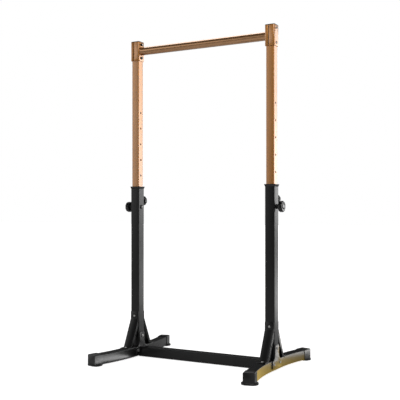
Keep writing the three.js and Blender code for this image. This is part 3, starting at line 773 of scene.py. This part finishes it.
def plastics(side):
    """Guide collar, top cap and glide."""
    node = f"{side}_guide_collar"
    box = Box(node)
    lower, upper = Box(f"{side}_lower_upright"), Box(f"{side}_upper_upright")
    wide, tube = box.size.x, lower.size.x
    top, seat = box.high.z, lower.high.z + 0.3 * MM
    bore = upper.size.x + 0.8 * MM
    sleeve = tube - 2 * WALL - 0.6 * MM
    steps = [
        (box.low.z, sleeve, 2 * MM), (seat, sleeve, 2 * MM), (seat, tube + 1.2 * MM, 4 * MM),
        (seat + 1 * MM, tube + 2.2 * MM, 5 * MM), (top - 7 * MM, wide - 2.4 * MM, 6 * MM),
        (top - 4.5 * MM, wide - 0.2 * MM, 6 * MM), (top - 1.4 * MM, wide, 6 * MM),
        (top - 0.4 * MM, wide - 0.9 * MM, 5.6 * MM), (top, wide - 2.6 * MM, 5 * MM),
        (top, bore + 2.2 * MM, 4.6 * MM), (top - 1.2 * MM, bore, 4 * MM), (box.low.z, bore, 4 * MM),
    ]
    piece = skin(f"{side}_collar", plug_rings(node, steps), "plastic", loop=True, sharp=40)
    give(piece, "base_frame", "plastic", node)

    node = f"{side}_top_cap"
    box = Box(node)
    wide, plug, high = box.size.x, upper.size.x - 2 * WALL - 0.6 * MM, box.high.z
    steps = [
        (box.low.z, plug - 1 * MM, 2 * MM), (box.low.z + 0.6 * MM, plug, 2 * MM),
        (upper.high.z + 0.3 * MM, plug, 2 * MM), (upper.high.z + 0.3 * MM, wide - 0.6 * MM, 6 * MM),
        (upper.high.z + 0.8 * MM, wide, 6.3 * MM), (high - 1.4 * MM, wide, 6.3 * MM),
        (high - 0.5 * MM, wide - 1 * MM, 6 * MM), (high - 0.1 * MM, wide - 4 * MM, 5 * MM),
        (high, wide / 3, 4 * MM),
    ]
    give(skin(f"{side}_cap", plug_rings(node, steps), "plastic", sharp=40), "upper_frame", "plastic", node)

    node = f"{side}_upper_glide"
    box = Box(node)
    wide, end = box.size.x, upper.low.z - 0.3 * MM
    steps = [
        (box.low.z, wide - 2 * MM, 2 * MM), (box.low.z + 1 * MM, wide, 2.4 * MM), (end - 0.5 * MM, wide, 2.4 * MM),
        (end, wide - 1 * MM, 2.2 * MM), (end, plug, 2 * MM), (box.high.z - 1 * MM, plug, 2 * MM),
        (box.high.z, plug - 2 * MM, 1.6 * MM),
    ]
    give(skin(f"{side}_glide", plug_rings(node, steps), "plastic", sharp=40), "upper_frame", "plastic", node)


def bracket_outline(half, inner, corner, edge, way):
    """One shell seen from above, on the +X side of its edge if way is 1."""
    outside = rounded_section(2 * half, 2 * half, corner, 8)
    inside = rounded_section(2 * inner, 2 * inner, TUBE_CORNER, 6)

    def kept(points):
        """The points beyond the edge, in order from front to back."""
        beyond = [(x, y) for x, y in points if way * (x - edge) > 1.0 * MM]
        return sorted(beyond, key=lambda p: math.atan2(p[1], way * p[0]))

    outer_edge = [(edge, -half), *kept(outside), (edge, half)]
    inner_edge = [(edge, -inner), *kept(inside), (edge, inner)]
    return outer_edge + inner_edge[::-1]


def seam_shade_strips(side, centre_z, height):
    """A black strip at the bottom of the front and back seam gaps between the two shells: painted shade, so each
    gap reads dark.
    """
    upper, inner, outer = (Box(f"{side}_{name}") for name in ("upper_upright", "inner_bracket", "outer_bracket"))
    first, second = sorted((inner, outer), key=lambda box: box.low.x)
    low, high = first.high.x, second.low.x
    for end, way in (("front", -1), ("back", 1)):
        face = upper.centre.y + way * (upper.size.y / 2 + 0.1 * MM)
        centre = Vector(((low + high) / 2, face + way * 1.2 * MM, centre_z))
        section = rounded_section(2.4 * MM, high - low - 0.3 * MM, 0.5 * MM)
        rings = [placed(section, centre + Z * d, Z) for d in (-height / 2 + 0.5 * MM, height / 2 - 0.5 * MM)]
        # Painted shade: a black strip behind the gap, so the seam between the shells reads dark.
        piece = skin(f"{side}_{end}_seam_shade_strip", rings, "plastic", sharp=40)
        give(piece, "upper_frame", "plastic", f"{side}_outer_bracket")


def brackets(side, sign):
    for name, way in (("inner", -sign), ("outer", sign)):
        node = f"{side}_{name}_bracket"
        box = Box(node)
        upper = Box(f"{side}_upper_upright")
        middle = Vector((upper.centre.x, upper.centre.y, box.centre.z))
        half, inner = box.size.y / 2, upper.size.x / 2 + 0.4 * MM
        edge = (box.low.x if way > 0 else box.high.x) - middle.x
        outline = bracket_outline(half, inner, BRACKET_CORNER, edge, way)
        piece = extruded(f"{side}_{name}_shell", outline, middle, X, Y, Z, box.size.z, "bronze", 0.6 * MM)
        heights = [Box(f"{side}_bracket_bolt_{end}").centre.z for end in ("lower", "upper")]
        holes = [drill(Vector((middle.x, middle.y, z)), X, BOLT + 0.5 * MM, 2 * half) for z in heights]
        give(combine(piece, holes), "upper_frame", "bronze", node)
    # Painted shade: black strips in the seam gaps between the shells.
    seam_shade_strips(side, box.centre.z, box.size.z)
    for end in ("lower", "upper"):
        node = f"{side}_bracket_bolt_{end}"
        grip = 2 * half + 0.6 * MM
        button_bolt(f"{side}_{end}_bracket_bolt", node, X * sign, "upper_frame", "steel", grip, "black_steel")


def pull_up_bar():
    node = "pull_up_bar"
    box = Box(node)
    radius, length = box.size.z / 2, box.size.x
    start = Vector((box.low.x, box.centre.y, box.centre.z))
    levels = [(d, radius - inset) for d, inset in hollow_profile(length, WALL)]
    rings = [placed(circle_section(r, 96), start + X * d, X) for d, r in levels]
    give(skin("bar_tube", rings, "bronze_bar", loop=True), "upper_frame", "bronze_bar", node)
    for side, sign in SIDES.items():
        face = Box(f"{side}_inner_bracket")
        x = face.high.x if sign < 0 else face.low.x
        centre = Vector((x, box.centre.y, box.centre.z))
        weld = round_weld(f"bar_weld_{side}", centre, -X * sign, radius, 2.2 * MM, "bronze_bar", 110)
        give(weld, "upper_frame", "bronze_bar", node)


# ---------------------------------------------------------------- base
def foot_stations(steps=14):
    """(sideways offset, distance to the back, heading) along a foot that bends towards +X."""
    half = [(0.0, FOOT_MIDDLE, 0.0)]
    for step in range(1, steps + 1):
        angle = FOOT_BEND_ANGLE * step / steps
        half.append((
            FOOT_BEND_RADIUS * (1 - math.cos(angle)),
            FOOT_MIDDLE + FOOT_BEND_RADIUS * math.sin(angle),
            angle,
        ))
    x, y, angle = half[-1]
    half.append((x + FOOT_END * math.sin(angle), y + FOOT_END * math.cos(angle), angle))
    return [(x, -y, -angle) for x, y, angle in reversed(half)] + half


def foot(side, sign):
    node = f"{side}_foot_tube"
    box = Box(node)
    centre_x = Box(f"{side}_lower_upright").centre.x
    stations = foot_stations()
    width, height = FOOT_WIDTH, box.size.z

    def ring(station, inset, slip=0.0):
        x, y, angle = stations[station]
        ahead = Vector((sign * math.sin(angle), math.cos(angle), 0))
        across = Vector((ahead.y, -ahead.x, 0))
        centre = Vector((centre_x + sign * x, y, box.centre.z)) + ahead * slip
        section = rounded_section(width - 2 * inset, height - 2 * inset, TUBE_CORNER - inset)
        return [centre + across * u + Z * v for u, v in section]

    last = len(stations) - 1
    rings = [ring(0, EDGE)]
    rings += [ring(i, 0, EDGE if i == 0 else -EDGE if i == last else 0) for i in range(last + 1)]
    rings.append(ring(last, EDGE))
    rings += [ring(i, WALL) for i in range(last, -1, -1)]
    piece = skin(f"{side}_foot", rings, "powder_coat", loop=True)
    give(piece, "base_frame", "powder_coat", node)
    for end, way in (("front", -1), ("back", 1)):
        shoe(side, end, centre_x, sign, way, stations[-1], box)


def shoe(side, end, centre_x, sign, way, station, foot_box):
    """A moulded shoe: a sleeve closed by an end wall, on a flanged pad with a rounded rim."""
    node = f"{side}_{end}_shoe"
    x, y, angle = station
    ahead = Vector((sign * math.sin(angle), way * math.cos(angle), 0))
    across = Vector((ahead.y, -ahead.x, 0))
    tip = Vector((centre_x + sign * x, way * y, 0))
    high = Box(node).high.z
    wall, reach = SHOE_WALL, SHOE_REACH
    width, inner = FOOT_WIDTH + 2 * wall, FOOT_WIDTH + 0.6 * MM
    rise, drop = foot_box.high.z + 0.3 * MM, foot_box.low.z - 0.3 * MM

    def section(distance, wide, bottom, top, corner):
        centre = tip + ahead * distance + Z * (bottom + top) / 2
        return [centre + across * u + Z * v for u, v in rounded_section(wide, top - bottom, corner)]

    bottom = 1 * MM
    rings = [
        section(-reach, width - 2 * MM, bottom, high - 1 * MM, 6 * MM),
        section(-reach + 0.8 * MM, width, bottom, high, 6 * MM),
        section(wall - 1.6 * MM, width, bottom, high, 6 * MM),
        section(wall - 0.6 * MM, width - 0.8 * MM, bottom, high - 0.4 * MM, 5.6 * MM),
        section(wall, width - 3 * MM, bottom, high - 1.5 * MM, 4.6 * MM),
    ]
    sleeve = skin(node + "_sleeve", rings, "plastic", sharp=40)
    centre = tip + ahead * (PAD_AHEAD - PAD_LONG / 2)
    pad_rings = []
    for height, inset in PAD_STEPS:
        trim = 2 * inset * MM
        shape = rounded_section(PAD_WIDE - trim, PAD_LONG - trim, (PAD_CORNER - inset) * MM, 14)
        pad_rings.append([centre + across * u + ahead * v + Z * height * MM for u, v in shape])
    pad = skin(node + "_pad", pad_rings, "plastic", sharp=40)
    combine(sleeve, [pad], "UNION")
    pocket = [section(d, inner, drop, rise, 4 * MM) for d in (-reach - 5 * MM, 0.3 * MM)]
    combine(sleeve, [skin("pocket", pocket, "plastic")])
    give(sleeve, "base_frame", "plastic", node)


def arc(centre, radius, start, end, steps=10):
    return [
        (centre[0] + radius * math.cos(a), centre[1] + radius * math.sin(a))
        for a in (math.radians(start + (end - start) * i / steps) for i in range(steps + 1))
    ]


def gusset_outline(box):
    """The T-shaped plate: wide along the foot, flared into a stem up the upright."""
    half, stem, flare, corner = box.size.y / 2, 27 * MM, 36 * MM, 8 * MM
    low, high, shoulder = box.low.z, box.high.z, 62 * MM
    edge = 4 * MM
    right = arc((half - edge, low + edge), edge, -90, 0, 4)
    right += arc((half, shoulder + flare), flare, -90, -180)
    right += arc((stem - corner, high - corner), corner, 0, 90, 6)
    return right + [(-y, z) for y, z in reversed(right)]


def gusset(name, x, outline, bolt_heights, body_node):
    piece = extruded(name, outline, Vector((x, 0, 0)), Y, Z, X, GUSSET_PLATE, "powder_coat", 0.8 * MM)
    upper, lower, offset = bolt_heights
    spots = [(0, upper), (-offset, lower), (offset, lower)]
    combine(piece, [drill(Vector((x, y, z)), X, BOLT + 0.5 * MM, 20 * MM) for y, z in spots])
    give(piece, "base_frame", "powder_coat", body_node)


def gussets(side, sign):
    outer = Box(f"{side}_outer_gusset")
    outline = gusset_outline(outer)
    bolt = Box(f"{side}_back_gusset_bolt")
    heights = (Box(f"{side}_upright_bolt").centre.z, bolt.centre.z, bolt.centre.y)
    gusset(f"{side}_outer_plate", outer.centre.x, outline, heights, f"{side}_outer_gusset")
    bar = Box("base_crossbar")
    edge = bar.high.x if sign > 0 else bar.low.x
    inner_x = edge - sign * GUSSET_PLATE / 2
    gusset(f"{side}_inner_plate", inner_x, outline, heights, "base_crossbar")
    grip = abs(outer.centre.x - inner_x) + GUSSET_PLATE + 0.6 * MM
    for end in ("front", "back"):
        node = f"{side}_{end}_gusset_bolt"
        button_bolt(f"{side}_{end}_foot_plate_bolt", node, X * sign, "base_frame", "steel", grip)
    button_bolt(f"{side}_upright_plate_bolt", f"{side}_upright_bolt", X * sign, "base_frame", "steel", grip)
    face = Box(f"{side}_front_brace").high.y
    grip = 2 * (abs(face) + BRACE_PLATE + 0.3 * MM)
    button_bolt(f"{side}_strap_through_bolt", f"{side}_brace_bolt", -Y, "base_frame", "steel", grip)


def base_crossbar():
    node = "base_crossbar"
    box = Box(node)
    length = box.size.x - 2 * GUSSET_PLATE
    centre_z = box.low.z + CROSSBAR / 2
    start = Vector((box.low.x + GUSSET_PLATE, box.centre.y, centre_z))
    rings = tube_rings(hollow_profile(length, WALL, 0.1 * MM), start, X, CROSSBAR, CROSSBAR, TUBE_CORNER)
    give(skin("crossbar_tube", rings, "powder_coat", loop=True), "base_frame", "powder_coat", node)
    outline = rounded_section(CROSSBAR, CROSSBAR, TUBE_CORNER, 8)
    for side, sign in SIDES.items():
        x = start.x if sign < 0 else start.x + length
        centre = Vector((x, box.centre.y, centre_z))
        path = even_steps([centre + Z * u + Y * v for u, v in outline], 110)
        normals = [((p - centre).normalized() - X * sign).normalized() for p in path]
        weld = weld_bead(f"crossbar_weld_{side}", path, normals, 1.8 * MM, "powder_coat")
        give(weld, "base_frame", "powder_coat", node)


def even_steps(points, count):
    """The same closed line as evenly spaced points."""
    lengths = [(points[(i + 1) % len(points)] - p).length for i, p in enumerate(points)]
    total, made = sum(lengths), []
    at, start = 0, 0.0
    for step in range(count):
        want = total * step / count
        while start + lengths[at] < want:
            start += lengths[at]
            at += 1
        share = (want - start) / lengths[at] if lengths[at] else 0
        made.append(points[at].lerp(points[(at + 1) % len(points)], share))
    return made


def bent_line(points, radius, steps=5):
    """A polyline of (along, up) points with rounded bends."""
    made = [points[0]]
    for before, point, after in zip(points, points[1:], points[2:]):
        a, b, c = Vector(before), Vector(point), Vector(after)
        into, out = (a - b).normalized(), (c - b).normalized()
        reach = radius * math.tan((math.pi - into.angle(out)) / 2)
        first, last = b + into * reach, b + out * reach
        for step in range(steps + 1):
            t = step / steps
            made.append(tuple(first * (1 - t) ** 2 + b * 2 * t * (1 - t) + last * t ** 2))
    made.append(points[-1])
    return made


def offset_line(points, distance):
    """The line moved to the left of its direction."""
    moved = []
    for i, point in enumerate(points):
        before = Vector(points[max(i - 1, 0)])
        after = Vector(points[min(i + 1, len(points) - 1)])
        along = (after - before).normalized()
        moved.append((point[0] - along.y * distance, point[1] + along.x * distance))
    return moved


def brace(side, end, way):
    """A bent strip with stiffening flanges from the upright to the top of the foot."""
    node = f"{side}_{end}_brace"
    box = Box(node)
    face = min(abs(box.low.y), abs(box.high.y))
    tip = max(abs(box.low.y), abs(box.high.y))
    foot_top, top = box.low.z, box.high.z
    corners = [(face, top), (face, BRACE_BEND_HEIGHT), (BRACE_FOOT_START, foot_top), (tip, foot_top)]
    line = bent_line(corners, 6 * MM)
    outline = line + offset_line(line, BRACE_PLATE)[::-1]
    centre = Vector((box.centre.x, 0, 0))
    out = Y * way
    piece = extruded(f"{side}_{end}_strip", outline, centre, out, Z, X, box.size.x, "powder_coat", 0.6 * MM)
    start, finish = Vector((face, BRACE_BEND_HEIGHT)), Vector((BRACE_FOOT_START, foot_top))
    down = (finish - start).normalized()
    inward = Vector((down.y, -down.x))
    spots = ((start, FLANGE_TOP[0]), (finish, FLANGE_FOOT[0]), (finish, FLANGE_FOOT[1]), (start, FLANGE_TOP[1]))
    flange = [tuple(base + down * run * MM + inward * depth * MM) for base, (run, depth) in spots]
    plates = []
    for edge in (-1, 1):
        spot = centre + X * edge * (box.size.x / 2 - BRACE_PLATE / 2 - 0.01 * MM)
        plates.append(extruded("flange", flange, spot, out, Z, X, BRACE_PLATE, "powder_coat", 0.5 * MM))
    combine(piece, plates, "UNION")
    bolt = Box(f"{side}_{end}_brace_foot_bolt")
    combine(piece, [
        drill(centre + out * face + Z * Box(f"{side}_brace_bolt").centre.z, Y, BOLT + 0.5 * MM, 20 * MM),
        drill(Vector((bolt.centre.x, bolt.centre.y, foot_top)), Z, BOLT + 0.5 * MM, 20 * MM),
    ])
    give(piece, "base_frame", "powder_coat", node)
    grip = BRACE_PLATE + WALL + 0.6 * MM
    button_bolt(f"{side}_{end}_strap_bolt", f"{side}_{end}_brace_foot_bolt", Z, "base_frame", "steel", grip)


# ---------------------------------------------------------------- the stand
make_camera()
make_world()
make_stage()
for side_name, side_sign in SIDES.items():
    uprights(side_name)
    plastics(side_name)
    brackets(side_name, side_sign)
    lock_parts(side_name, side_sign)
    clamp_parts(side_name)
    foot(side_name, side_sign)
    gussets(side_name, side_sign)
    for end_name, end_way in (("front", -1), ("back", 1)):
        brace(side_name, end_name, end_way)
pull_up_bar()
base_crossbar()
make_lights()
bpy.context.scene.view_settings.view_transform = "Standard"

bpy.context.view_layer.update()
